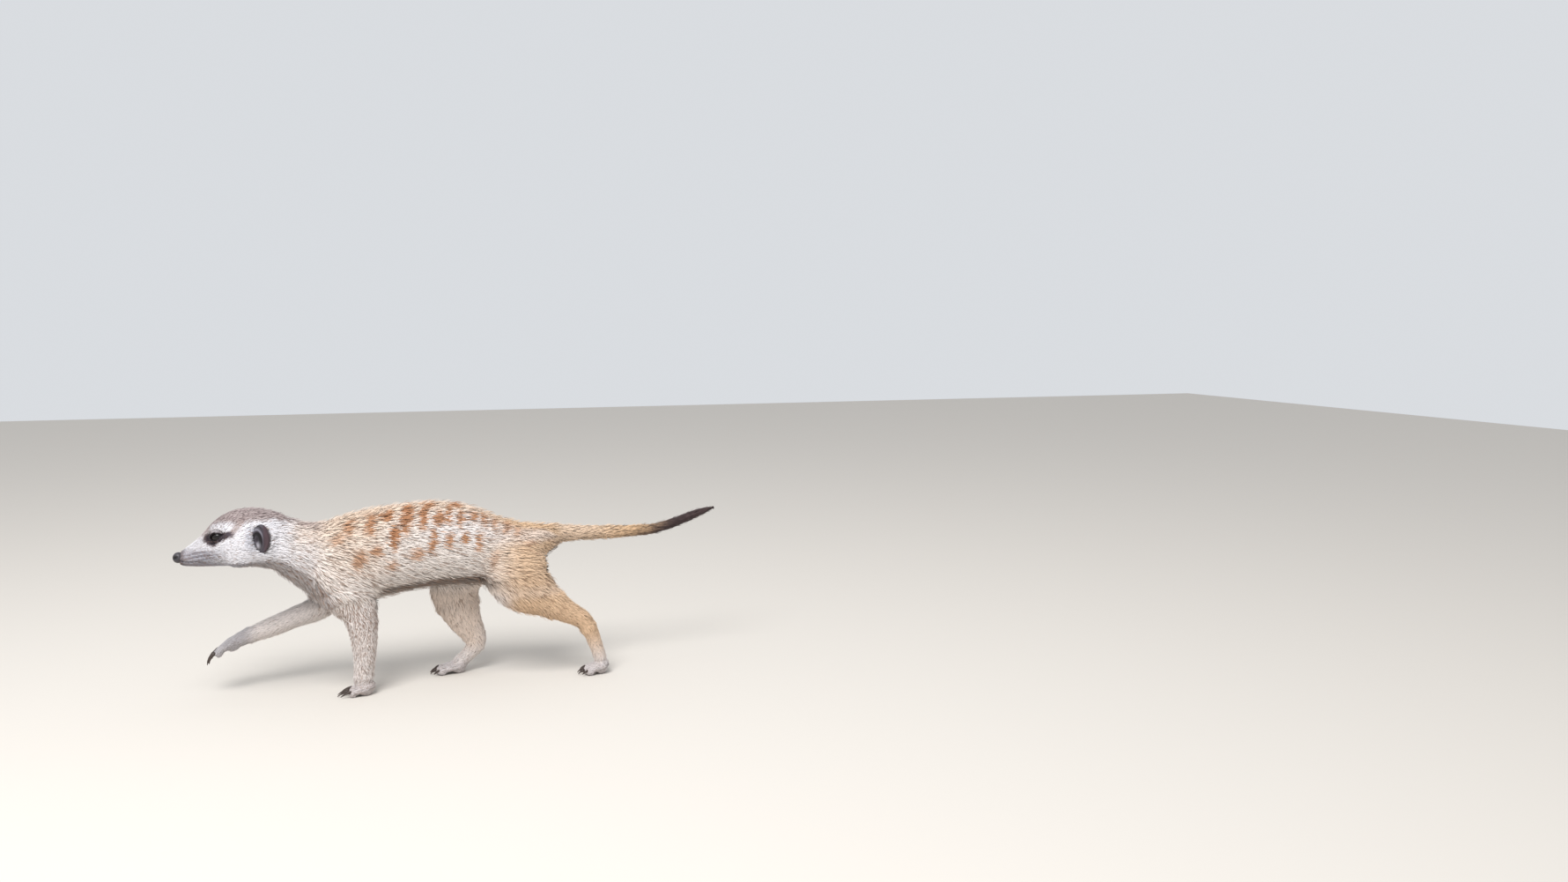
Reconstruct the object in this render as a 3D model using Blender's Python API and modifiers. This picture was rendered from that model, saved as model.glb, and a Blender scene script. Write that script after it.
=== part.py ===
"""A walking meerkat at life size, as a museum model.

The animal faces -X, its left side is -Y and +Z is up. It stands on its left
forefoot and both hind feet, and reaches forward with the right forefoot.
The surface is the coat's outer surface. Lengths in the tables are millimetres.

The flesh is modelled whole: lofts for the trunk, head, tail and limbs are fused
by a voxel remesh, smoothed, and given feet. Then it is parted by thin cuts into
the pieces that a person would name. Eyes, ears, the nose pad and the claws are
pieces of their own, set into seats cut in the flesh.
"""

import math

import bmesh
import bpy
import numpy as np
from mathutils import Matrix, Vector
from mathutils.bvhtree import BVHTree

MM = 0.001
GAP = 0.3 * MM  # clearance between neighbouring pieces
LEFT, RIGHT = -1, 1  # sign of Y on each side

# The tables share a frame whose middle plane is Y = 0 and whose floor is Z = 0. The finished
# model is then moved along X and Y until its origin is the middle of its box.

# Trunk sections from the throat to the seat:
# x, top, bottom, half width, centre y, drop of the widest level as a share of the height.
TRUNK = {
    "inside_skull": (-164, 148, 116, 14.0, -6.5, 0.00),
    "upper_neck": (-142, 150, 100, 19.5, -4.5, 0.00),
    "neck": (-128, 144, 86, 21.5, -2.5, 0.02),
    "neck_base": (-114, 142.5, 75, 24.0, -1.0, 0.04),
    "withers": (-98, 146.5, 69, 27.0, 0.0, 0.06),
    "ribs": (-74, 151.5, 75, 29.5, 0.0, 0.08),
    "back": (-43, 155, 82, 31.0, 0.0, 0.10),
    "waist": (-14, 154.5, 84, 30.0, 0.0, 0.08),
    "loin": (8, 149.5, 83, 28.5, 0.0, 0.04),
    "hip": (30, 139, 84, 27.5, 0.0, 0.00),
    "rump": (49, 132.5, 90, 24.0, 0.5, -0.04),
    "seat": (63, 130.5, 99, 18.5, 1.0, -0.08),
    "tail_base": (75, 129.5, 108, 10.5, 2.0, 0.00),
}

# Head sections from the nose to the nape, in the same columns.
HEAD = {
    "tip": (-219, 124.0, 117.6, 3.4, -15.2, 0.00),
    "nose": (-216, 126.6, 115.8, 5.6, -14.7, 0.02),
    "lip": (-211, 130.4, 114.6, 7.4, -14.0, 0.06),
    "muzzle": (-204.5, 135.0, 114.0, 9.4, -13.1, 0.10),
    "bridge": (-198.5, 140.8, 113.7, 12.2, -12.2, 0.12),
    "eyes": (-192, 148.2, 113.5, 16.2, -11.3, 0.14),
    "brow": (-185, 153.6, 113.2, 19.6, -10.3, 0.15),
    "temple": (-176, 157.2, 112.6, 22.4, -9.2, 0.15),
    "crown": (-162, 158.2, 110.6, 24.2, -7.5, 0.13),
    "occiput": (-149, 154.6, 106.0, 23.2, -6.0, 0.08),
    "nape": (-138, 149.6, 99.0, 21.0, -4.5, 0.04),
}

# Tail centreline from root to tip: x, y, z, radius upright, radius across.
TAIL = {
    "root": (44, 0.5, 117.5, 15.0, 14.0),
    "base": (58, 2, 120.0, 11.8, 11.2),
    "thick": (74, 4.5, 120.6, 9.3, 9.2),
    "first_third": (92, 8, 120.2, 7.4, 7.6),
    "middle": (125, 13, 118.2, 6.2, 6.4),
    "second_third": (161, 18.5, 117.2, 5.2, 5.3),
    "dark_part": (180, 21.5, 119.6, 4.9, 4.9),
    "rising": (200, 24.5, 125.0, 4.7, 4.6),
    "tuft": (217, 26.5, 130.4, 3.9, 3.8),
    "end": (230, 28, 133.6, 2.0, 2.0),
}

# Limb centrelines from the trunk down: x, y, z, radius fore and aft, radius across.
# y is the distance from the middle plane, to the side that the limb is on.
LEFT_FORE = {
    "shoulder_blade": (-92, 15.5, 124, 19.0, 9.0),
    "shoulder": (-97, 17.5, 103, 22.5, 12.5),
    "upper_arm": (-93, 19.5, 84, 21.0, 12.5),
    "elbow": (-84.5, 20.0, 68, 14.2, 10.4),
    "forearm": (-82.2, 20.5, 50, 11.2, 8.8),
    "lower_forearm": (-82.2, 20.5, 32, 9.2, 7.8),
    "wrist": (-83.6, 20.5, 16, 8.0, 7.6),
    "heel_of_hand": (-84.4, 20.5, 7.5, 7.4, 8.0),
}
RIGHT_FORE = {
    "shoulder_blade": (-98, 15.0, 122, 18.0, 9.0),
    "shoulder": (-108, 17.0, 100, 20.0, 12.0),
    "upper_arm": (-112, 19.0, 82, 16.0, 12.0),
    "elbow": (-114, 20.0, 68, 11.0, 10.5),
    "forearm": (-133, 20.0, 61, 9.2, 9.0),
    "lower_forearm": (-156, 19.5, 52.5, 8.4, 7.8),
    "wrist": (-175, 19.0, 46.3, 6.6, 7.0),
    "heel_of_hand": (-184, 19.0, 42.6, 5.8, 7.6),
}
LEFT_HIND = {
    "haunch": (40, 12.0, 118, 22.0, 13.0),
    "thigh": (40, 16.5, 100, 28.5, 14.0),
    "knee": (48, 19.0, 82, 25.5, 13.0),
    "shank": (68, 20.5, 67, 15.2, 10.2),
    "lower_shank": (84, 21.0, 56.5, 10.2, 8.0),
    "hock": (97, 21.0, 48.5, 8.6, 7.0),
    "below_hock": (103.5, 21.0, 38, 7.0, 6.4),
    "metatarsus": (108.5, 21.0, 24, 6.0, 6.8),
    "ball": (112.5, 21.0, 10.5, 5.4, 7.8),
}
RIGHT_HIND = {
    "haunch": (24, 12.0, 118, 20.0, 13.0),
    "thigh": (8, 16.5, 102, 24.0, 13.5),
    "knee": (-6, 18.5, 86, 22.5, 13.0),
    "shank": (-8, 19.0, 70, 21.0, 11.4),
    "lower_shank": (-2, 19.0, 51, 16.4, 9.2),
    "above_hock": (4, 19.0, 38.5, 12.6, 7.8),
    "hock": (10.0, 19.0, 27.5, 8.8, 7.0),
    "below_hock": (6.0, 19.0, 19.5, 7.2, 6.6),
    "metatarsus": (-1.5, 19.0, 12.5, 6.0, 7.2),
    "ball": (-9.5, 19.0, 7.0, 5.0, 8.0),
}

# Feet: middle of the knuckle line, slope of the toes below level in degrees,
# toe length, claw length, claw curl in degrees, place of the palm behind the knuckles,
# whether the foot stands on the floor.
FEET = {
    "left_fore": ((-86.5, -20.5, 4.6), 10, 9.5, 10.5, 40, -4.0, True),
    "right_fore": ((-190.0, 19.0, 39.6), 30, 12.0, 12.0, 58, -4.0, False),
    "left_hind": ((111.0, -21.0, 5.8), 13, 15.0, 6.5, 55, -0.6, True),
    "right_hind": ((-11.0, 19.0, 5.1), 9, 15.5, 6.5, 60, -4.0, True),
}
TOE_SPACING = 4.5
TOE_RADIUS = 2.75
INNER_TOE_SHARE = 0.86  # length of the outer and inner toes beside the middle two
TOE_PAD = (3.1, 2.1, 2.2)  # half lengths of the pad under each toe tip
TOE_PAD_PLACE = (0.72, -2.2)  # share of the toe's length, drop below its middle line
PALM_PAD = (5.4, 6.8, 2.8)
PALM_PAD_DROP = -3.9
FOOT_BACK = (9.0, 8.8, 4.2)  # half lengths of the swelling over the knuckles
FOOT_BACK_LIFT = 0.6
CLAW_RADIUS = 1.25
CLAW_LIFT = 1.0  # height of the claw's root above the toe's middle line
CLAW_SIDES = 6
CLAW_DEPTH = 1.4  # how far the claw's root reaches back into the toe

# Soft swellings of the head on both sides: centre from the head's middle plane, half lengths.
SWELLS = {
    "cheek": ((-171, 15.5, 123), (15, 7.6, 10.5)),
    "brow": ((-186.0, 8.5, 145.0), (8.0, 6.0, 5.0)),
    "lip": ((-207, 3.8, 119.4), (8.5, 3.8, 4.6)),
}

# Thin cuts through the flesh: centre, half lengths along the cut's own X and Y, turns about X and Y.
CUTS = {
    "head_neck": ((-147, -5, 126), (36, 45), (0, -76)),
    "neck_trunk": ((-121, 0, 113), (41, 50), (0, -70)),
    "tail_root": ((74, 2, 119), (40, 40), (0, 90)),
    "tail_middle": ((126, 13, 118), (40, 40), (0, 90)),
    "tail_end": ((182, 22, 120), (40, 40), (0, 90)),
    "left_arm": ((-88, -25, 82), (34, 26), (-38, 0)),
    "left_elbow": ((-84, -26, 62), (28, 20), (0, 0)),
    "left_wrist": ((-86, -24, 16), (28, 20), (0, 0)),
    "right_arm": ((-108, 25, 82), (40, 26), (38, 0)),
    "right_elbow": ((-124, 26, 64), (17, 20), (0, 70)),
    "right_wrist": ((-172, 24, 47), (22, 20), (0, 72)),
    "left_leg": ((50, -26, 92), (49, 27), (-32, 0)),
    "left_knee": ((72, -26, 64), (34, 20), (0, -60)),
    "left_hock": ((101, -26, 42), (22, 20), (0, -32)),
    "right_leg": ((6, 26, 92), (46, 27), (32, 0)),
    "right_knee": ((-4, 26, 62), (34, 20), (0, -12)),
    "right_hock": ((9, 26, 24), (22, 20), (0, 25)),
}

# The pieces of flesh that the cuts leave: a point inside each, and the colour of its coat.
GREY, CREAM, SAND, DARK = (0.50, 0.45, 0.40), (0.62, 0.55, 0.46), (0.60, 0.44, 0.26), (0.12, 0.08, 0.06)
PIECES = {
    "head": ((-170, -8, 130), GREY),
    "neck": ((-134, -2, 112), GREY),
    "trunk": ((-20, 0, 118), SAND),
    "tail_base": ((100, 9, 120), SAND),
    "tail_middle": ((150, 17, 118), SAND),
    "tail_tip": ((205, 25, 126), DARK),
    "left_elbow": ((-84, -20.5, 70), CREAM),
    "left_foreleg": ((-82, -20.5, 45), CREAM),
    "left_forefoot": ((-86, -20.5, 8), CREAM),
    "right_elbow": ((-112, 20, 66), CREAM),
    "right_foreleg": ((-140, 20, 58), CREAM),
    "right_forefoot": ((-182, 19, 43), CREAM),
    "left_thigh": ((48, -20, 78), SAND),
    "left_shank": ((88, -21, 54), CREAM),
    "left_hind_foot": ((109, -21, 20), CREAM),
    "right_thigh": ((-4, 19, 75), SAND),
    "right_shank": ((3, 19, 45), CREAM),
    "right_hind_foot": ((-4, 19, 9), CREAM),
}

# Eyes: centre of the left eyeball, from the head's own middle plane for y.
EYE_CENTRE = (-187.2, 10.9, 138.0)
EYE_RADIUS = 5.4
# Ears: centre, half length fore and aft, thickness, half height.
EAR_CENTRE = (-155.4, 21.2, 135.8)
EAR_HALF = (6.6, 4.2, 11.6)
EAR_BOWL = (3.9, 3.4, 8.2)
EAR_BOWL_AHEAD = 1.0
EAR_TURN = 10  # degrees that the bowl faces forward of square
NOSE_CENTRE = (-217.0, 0.0, 122.2)
NOSE_HALF = (4.3, 4.7, 4.3)

VOXEL_BODY = 1.5  # cell of the remesh that fuses trunk, head, tail and limbs
VOXEL_FEET = 1.0  # cell of the remesh that adds the feet
BODY_SMOOTH, FEET_SMOOTH = 14, 3  # rounds of smoothing after each remesh
FLESH_TRIANGLES = 3600
HEAD_COARSENESS, FOOT_COARSENESS = 0.97, 0.95  # share of the trunk's coarseness
COAT_ROUGHNESS = 0.85
FLOOR_CUTTER = ((-400, -100, -40), (400, 100, 0))  # low and high corner


def clear_scene():
    for obj in list(bpy.data.objects):
        bpy.data.objects.remove(obj)


def new_collection(name):
    made = bpy.data.collections.new(name)
    bpy.context.scene.collection.children.link(made)
    return made


def material(name, colour, roughness):
    made = bpy.data.materials.new(name)
    made.use_nodes = True
    shader = made.node_tree.nodes["Principled BSDF"]
    shader.inputs["Base Color"].default_value = (*colour, 1)
    shader.inputs["Roughness"].default_value = roughness
    return made


def eased(stations, steps):
    """The stations' columns along a Catmull-Rom curve, with this many steps between each two."""
    rows = np.array(list(stations.values()), float)
    ends = np.vstack([2 * rows[0] - rows[1], rows, 2 * rows[-1] - rows[-2]])
    found = []
    for i in range(len(rows) - 1):
        before, start, end, after = ends[i : i + 4]
        for t in np.arange(steps) / steps:
            found.append(
                0.5 * (2 * start + (end - before) * t)
                + 0.5 * (2 * before - 5 * start + 4 * end - after) * t**2
                + 0.5 * (3 * (start - end) + after - before) * t**3
            )
    return found + [rows[-1]]


def loft(name, rings, collection):
    """A closed mesh through rings of equally many points, with a flat cap at each end."""
    bm = bmesh.new()
    rows = [[bm.verts.new(Vector(p) * MM) for p in ring] for ring in rings]
    count = len(rows[0])
    for lower, upper in zip(rows, rows[1:]):
        for i in range(count):
            j = (i + 1) % count
            bm.faces.new((lower[i], lower[j], upper[j], upper[i]))
    bm.faces.new(rows[0])
    bm.faces.new(rows[-1])
    bmesh.ops.recalc_face_normals(bm, faces=bm.faces)
    return object_from(name, bm, collection)


def object_from(name, bm, collection):
    mesh = bpy.data.meshes.new(name)
    bm.to_mesh(mesh)
    bm.free()
    made = bpy.data.objects.new(name, mesh)
    collection.objects.link(made)
    return made


def egg_ring(x, top, bottom, half_width, y, drop, count=28):
    """A section of the body: two half ellipses that meet at its widest level."""
    widest = bottom + (top - bottom) * (0.5 - drop)
    points = []
    for i in range(count):
        angle = 2 * math.pi * i / count
        rise = math.sin(angle)
        height = top - widest if rise > 0 else widest - bottom
        points.append((x, y + half_width * math.cos(angle), widest + height * rise))
    return points


def tube_rings(rows, count=16):
    """Ellipses square to a centreline. The second radius lies across the body, along Y."""
    places = [Vector(row[:3]) for row in rows]
    rings = []
    for i, (place, row) in enumerate(zip(places, rows)):
        ahead = places[min(i + 1, len(places) - 1)] - places[max(i - 1, 0)]
        ahead.normalize()
        across = Vector((0, 1, 0)) - ahead * ahead.y
        across.normalize()
        upright = ahead.cross(across)
        turns = [2 * math.pi * k / count for k in range(count)]
        rings.append(
            [place + upright * row[3] * math.cos(a) + across * row[4] * math.sin(a) for a in turns]
        )
    return rings


def body_loft(name, stations, collection):
    return loft(name, [egg_ring(*row) for row in eased(stations, 3)], collection)


def tube_loft(name, stations, collection, side=1, steps=3):
    rows = eased(stations, steps)
    for row in rows:
        row[1] *= side
    return loft(name, tube_rings(rows), collection)


def ellipsoid(name, centre, half, collection, turn=0.0, segments=14, rings=9):
    """A sphere scaled to its half lengths and turned about +Z, all in the mesh."""
    bm = bmesh.new()
    bmesh.ops.create_uvsphere(bm, u_segments=segments, v_segments=rings, radius=1)
    place = Matrix.Translation(Vector(centre) * MM)
    shape = Matrix.Diagonal((*(Vector(half) * MM), 1))
    bm.transform(place @ Matrix.Rotation(math.radians(turn), 4, "Z") @ shape)
    return object_from(name, bm, collection)


def foot_frame(name):
    """Turns local toe space into the world: +X along the toes, +Y to the animal's right, +Z up."""
    place, slope = FEET[name][:2]
    forward = Matrix.Rotation(math.pi, 4, "Z")
    down = Matrix.Rotation(math.radians(slope), 4, "Y")
    return Matrix.Translation(Vector(place)) @ forward @ down


def toe_fan():
    """(index, offset across, angle outward, share of full length) of each of the four toes."""
    for i in range(4):
        across = (i - 1.5) * TOE_SPACING
        yield i + 1, across, 0.045 * (i - 1.5), 1.0 if i in (1, 2) else INNER_TOE_SHARE


def local_tube(name, frame, rows, collection, count=10):
    """A tube whose rows hold a place in the foot's local space and two radii."""
    placed = [(*(frame @ Vector(row[:3])), *row[3:]) for row in rows]
    return loft(name, tube_rings(placed, count), collection)


def toe_rows(across, outward, length):
    """A toe, from inside the knuckles to the pad under its tip."""
    reach = ((-5, 0.3, 1.0), (0, 0.6, 1.08), (0.42, 0.7, 0.92), (0.8, -0.5, 1.06), (1.0, -0.6, 0.8))
    rows = []
    for share, lift, swell in reach:
        along = share if share < 0 else share * length
        radius = TOE_RADIUS * swell
        rows.append((along, across + along * math.tan(outward), lift, radius, radius * 0.86))
    return rows


def claw_rows(across, outward, toe_length, length, curl, rise, steps=4):
    """A claw: an arc that leaves the toe, rises by an angle, curls down and tapers to its point."""
    bend, start = math.radians(curl), math.radians(-rise)
    radius = length / bend
    rows = []
    for k in range(steps + 1):
        share = k / steps
        angle = start + bend * share
        along = toe_length - CLAW_DEPTH + radius * (math.sin(angle) - math.sin(start))
        height = CLAW_LIFT - radius * (math.cos(start) - math.cos(angle))
        thick = CLAW_RADIUS * (1 - 0.82 * share)
        side = across + along * math.tan(outward)
        rows.append((along, side, height, thick * 1.15, thick * 0.8))
    return rows


def joined(name, objects, collection):
    """One mesh object that holds all of these meshes, which are removed."""
    bm = bmesh.new()
    for obj in objects:
        bm.from_mesh(obj.data)
        bpy.data.objects.remove(obj)
    return object_from(name, bm, collection)


def settled(obj):
    """Applies the object's modifiers, through its evaluated mesh."""
    graph = bpy.context.evaluated_depsgraph_get()
    mesh = bpy.data.meshes.new_from_object(obj.evaluated_get(graph))
    obj.modifiers.clear()
    obj.data = mesh
    return obj


def fuse(obj, voxel, smoothing):
    """Makes one closed surface of overlapping shapes, and softens where they meet."""
    remesh = obj.modifiers.new("fuse", "REMESH")
    remesh.mode = "VOXEL"
    remesh.voxel_size = voxel * MM
    smooth = obj.modifiers.new("soften", "SMOOTH")
    smooth.factor = 0.5
    smooth.iterations = smoothing
    return settled(obj)


def thin_out(obj, triangles):
    """Decimates to this many triangles, and keeps the feet finer than the trunk."""
    group = obj.vertex_groups.new(name="coarse")
    for vertex in obj.data.vertices:
        x, _, z = vertex.co / MM
        weight = HEAD_COARSENESS if x < -130 else FOOT_COARSENESS if z < 20 else 1.0
        group.add([vertex.index], weight, "REPLACE")
    decimate = obj.modifiers.new("thin", "DECIMATE")
    decimate.ratio = triangles / (2 * len(obj.data.polygons))
    decimate.vertex_group = "coarse"
    decimate.vertex_group_factor = 0.5
    settled(obj)
    obj.vertex_groups.clear()


def boolean(obj, cutter, operation):
    step = obj.modifiers.new(operation.lower(), "BOOLEAN")
    step.operation = operation
    step.object = cutter
    settled(obj)


def block(name, low, high, collection):
    """A box between two corners."""
    bm = bmesh.new()
    bmesh.ops.create_cube(bm, size=1)
    low, high = Vector(low) * MM, Vector(high) * MM
    bm.transform(Matrix.Translation((low + high) / 2) @ Matrix.Diagonal((*(high - low), 1)))
    return object_from(name, bm, collection)


def slab(name, centre, half, turns, collection):
    """A thin box with the cut's thickness along its own Z, turned about X, then about Y."""
    bm = bmesh.new()
    bmesh.ops.create_cube(bm, size=2)
    size = Matrix.Diagonal((half[0] * MM, half[1] * MM, GAP / 2, 1))
    about_x = Matrix.Rotation(math.radians(turns[0]), 4, "X")
    about_y = Matrix.Rotation(math.radians(turns[1]), 4, "Y")
    bm.transform(Matrix.Translation(Vector(centre) * MM) @ about_y @ about_x @ size)
    return object_from(name, bm, collection)


def grown(obj, name, by, collection):
    """A copy with its surface moved outwards, for a seat with clearance."""
    made = bpy.data.objects.new(name, obj.data.copy())
    collection.objects.link(made)
    shift = [v.co + v.normal * by for v in made.data.vertices]
    for vertex, place in zip(made.data.vertices, shift):
        vertex.co = place
    return made


def set_in(piece, flesh, helpers):
    """Cuts a seat in the flesh, GAP larger than the piece all round."""
    seat = grown(piece, "seat", GAP, helpers)
    boolean(flesh, seat, "DIFFERENCE")
    bpy.data.objects.remove(seat)


def islands(obj):
    """The separate bodies of a mesh, each as a set of vertex indices."""
    bm = bmesh.new()
    bm.from_mesh(obj.data)
    bm.verts.ensure_lookup_table()
    left = set(range(len(bm.verts)))
    found = []
    while left:
        body = {left.pop()}
        edge = list(body)
        while edge:
            near = {e.other_vert(bm.verts[i]).index for i in edge for e in bm.verts[i].link_edges}
            edge = list(near & left)
            left -= near
            body |= set(edge)
        found.append(body)
    bm.free()
    return found


def piece_of(obj, name, body, collection):
    """A new object that holds only these vertices of a mesh and their faces."""
    bm = bmesh.new()
    bm.from_mesh(obj.data)
    bm.verts.ensure_lookup_table()
    others = [v for v in bm.verts if v.index not in body]
    bmesh.ops.delete(bm, geom=others, context="VERTS")
    return object_from(name, bm, collection)


def head_y(x, y):
    """A distance y from the head's own middle plane, as a world y beside x."""
    rows = list(HEAD.values())
    return float(np.interp(x, [r[0] for r in rows], [r[4] for r in rows])) + y


def local_ellipsoid(name, frame, centre, half, collection):
    """An ellipsoid with its centre and half lengths given in a foot's local space."""
    made = ellipsoid(name, (0, 0, 0), half, collection)
    turn = frame.to_3x3().to_4x4()
    made.data.transform(Matrix.Translation((frame @ Vector(centre)) * MM) @ turn)
    return made


def foot_shapes(foot, model):
    """The toes and the pads of one foot."""
    length, behind = FEET[foot][2], FEET[foot][5]
    frame = foot_frame(foot)
    shapes = [
        local_ellipsoid(f"{foot}_palm", frame, (behind, 0, PALM_PAD_DROP), PALM_PAD, model),
        local_ellipsoid(f"{foot}_back", frame, (behind, 0, FOOT_BACK_LIFT), FOOT_BACK, model),
    ]
    for i, across, outward, share in toe_fan():
        rows = toe_rows(across, outward, length * share)
        shapes.append(local_tube(f"{foot}_toe_{i}", frame, rows, model, 12))
        along = TOE_PAD_PLACE[0] * length * share
        centre = (along, across + along * math.tan(outward), TOE_PAD_PLACE[1])
        shapes.append(local_ellipsoid(f"{foot}_pad_{i}", frame, centre, TOE_PAD, model))
    return shapes


def flatten_soles(flesh, helpers):
    """Cuts the standing feet flat at floor level."""
    floor = block("floor_cut", *FLOOR_CUTTER, helpers)
    boolean(flesh, floor, "DIFFERENCE")
    bpy.data.objects.remove(floor)


def build_flesh(model, helpers):
    """Trunk, head, tail, limbs and feet as one body."""
    shapes = [
        body_loft("trunk_form", TRUNK, model),
        body_loft("head_form", HEAD, model),
        tube_loft("tail_form", TAIL, model),
        tube_loft("left_fore_form", LEFT_FORE, model, LEFT),
        tube_loft("right_fore_form", RIGHT_FORE, model, RIGHT),
        tube_loft("left_hind_form", LEFT_HIND, model, LEFT),
        tube_loft("right_hind_form", RIGHT_HIND, model, RIGHT),
    ]
    for name, (centre, half) in SWELLS.items():
        for side in (LEFT, RIGHT):
            x, y, z = centre
            place = (x, head_y(x, side * y), z)
            shapes.append(ellipsoid(name, place, half, model))
    flesh = fuse(joined("flesh", shapes, model), VOXEL_BODY, BODY_SMOOTH)
    feet = [shape for foot in FEET for shape in foot_shapes(foot, model)]
    flesh = fuse(joined("flesh", [flesh, *feet], model), VOXEL_FEET, FEET_SMOOTH)
    thin_out(flesh, FLESH_TRIANGLES)
    flatten_soles(flesh, helpers)
    return flesh


def build_claws(model, flesh, helpers, horn):
    """Four claws on each foot, each set into its toe."""
    for foot, (_, slope, length, claw, curl, _, stands) in FEET.items():
        frame = foot_frame(foot)
        rise = slope if stands else 0
        for i, across, outward, share in toe_fan():
            rows = claw_rows(across, outward, length * share, claw * share, curl, rise)
            piece = local_tube(f"{foot}_claw_{i}", frame, rows, model, CLAW_SIDES)
            piece.data.materials.append(horn)
            set_in(piece, flesh, helpers)


def build_ear(word, side, model, flesh, helpers):
    """An oval ear that lies against the head, with a bowl hollowed in its outer face."""
    x, y, z = EAR_CENTRE
    y = head_y(x, side * y)
    turn = EAR_TURN * side
    ear = ellipsoid(f"{word}_ear", (x, y, z), EAR_HALF, model, turn)
    set_in(ear, flesh, helpers)
    bowl_place = (x - EAR_BOWL_AHEAD, y + side * EAR_HALF[1], z)
    bowl = ellipsoid("ear_bowl", bowl_place, EAR_BOWL, helpers, turn)
    boolean(ear, bowl, "DIFFERENCE")
    bpy.data.objects.remove(bowl)
    return ear


def build_face(model, flesh, helpers, finishes):
    """Eyes, ears and the nose pad, each with its seat in the head."""
    for side, word in ((LEFT, "left"), (RIGHT, "right")):
        x, y, z = EYE_CENTRE
        eye = ellipsoid(f"{word}_eye", (x, head_y(x, side * y), z), (EYE_RADIUS,) * 3, model)
        set_in(eye, flesh, helpers)
        eye.data.materials.append(finishes["eye"])
        ear = build_ear(word, side, model, flesh, helpers)
        ear.data.materials.append(finishes["ear"])
    x, y, z = NOSE_CENTRE
    nose = ellipsoid("nose", (x, head_y(x, y), z), NOSE_HALF, model)
    set_in(nose, flesh, helpers)
    nose.data.materials.append(finishes["nose"])


def part_flesh(flesh, model, helpers):
    """Makes the thin cuts, and gives each piece between them its own object."""
    for name, (centre, half, turns) in CUTS.items():
        cutter = slab(name + "_cut", centre, half, turns, helpers)
        boolean(flesh, cutter, "DIFFERENCE")
        bpy.data.objects.remove(cutter)
    bodies = islands(flesh)
    surface = BVHTree.FromPolygons(
        [v.co for v in flesh.data.vertices], [p.vertices for p in flesh.data.polygons]
    )
    for name, (inside, colour) in PIECES.items():
        face = surface.find_nearest(Vector(inside) * MM)[2]
        corner = flesh.data.polygons[face].vertices[0]
        body = next(b for b in bodies if corner in b)
        piece = piece_of(flesh, name, body, model)
        piece.data.materials.append(material(name + "_coat", colour, COAT_ROUGHNESS))
    bpy.data.objects.remove(flesh)


def centre_on_floor(model):
    """Moves every mesh so that the origin is the middle of the model's box, at floor level."""
    corners = np.array([v.co for obj in model.objects for v in obj.data.vertices])
    low, high = corners.min(axis=0), corners.max(axis=0)
    middle = (low + high) / 2
    for obj in model.objects:
        obj.data.transform(Matrix.Translation((-middle[0], -middle[1], 0)))


def main():
    clear_scene()
    model = new_collection("meerkat")
    helpers = new_collection("cutters")
    flesh = build_flesh(model, helpers)
    finishes = {
        "eye": material("eye", (0.03, 0.015, 0.01), 0.1),
        "ear": material("ear", (0.02, 0.018, 0.016), 0.7),
        "nose": material("nose", (0.05, 0.035, 0.03), 0.45),
    }
    build_face(model, flesh, helpers, finishes)
    build_claws(model, flesh, helpers, material("claw", (0.06, 0.05, 0.04), 0.4))
    part_flesh(flesh, model, helpers)
    centre_on_floor(model)


main()
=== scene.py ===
import math

import bpy
import numpy as np
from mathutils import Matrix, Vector
from mathutils.bvhtree import BVHTree


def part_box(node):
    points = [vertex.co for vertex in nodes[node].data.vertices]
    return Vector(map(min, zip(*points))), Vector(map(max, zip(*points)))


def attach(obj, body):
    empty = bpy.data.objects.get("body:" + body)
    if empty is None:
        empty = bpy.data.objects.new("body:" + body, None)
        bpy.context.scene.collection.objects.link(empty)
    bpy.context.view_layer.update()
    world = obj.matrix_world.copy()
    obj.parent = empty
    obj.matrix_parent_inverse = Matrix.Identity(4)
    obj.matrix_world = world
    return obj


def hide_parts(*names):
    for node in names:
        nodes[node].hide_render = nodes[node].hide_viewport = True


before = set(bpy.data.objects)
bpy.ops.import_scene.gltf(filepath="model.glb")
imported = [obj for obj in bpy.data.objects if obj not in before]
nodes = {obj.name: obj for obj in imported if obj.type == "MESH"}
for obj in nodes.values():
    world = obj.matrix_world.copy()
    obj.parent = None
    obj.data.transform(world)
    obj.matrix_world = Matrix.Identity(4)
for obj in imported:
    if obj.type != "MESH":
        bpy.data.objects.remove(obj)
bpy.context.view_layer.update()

# ---- Hide ----
# One tanned skin over the whole form, with no seam. It lies under the outline by the depth of
# the coat, and is thin and bare-looking only at the eyelids, lips and soles.

MM = 0.001
CELL = 0.8  # mm, cell of the surface over the form
CLOSING = 0.25  # mm that each solid swells, to close the cuts between them
SEPARATE = ("eye", "ear", "nose", "claw")  # words in the names of the pieces that are no flesh

scene = bpy.context.scene
flesh_names = sorted(n for n in nodes if not any(word in n for word in SEPARATE))


def middle_of(node):
    low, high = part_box(node)
    return np.array((low + high) / 2) / MM


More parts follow.
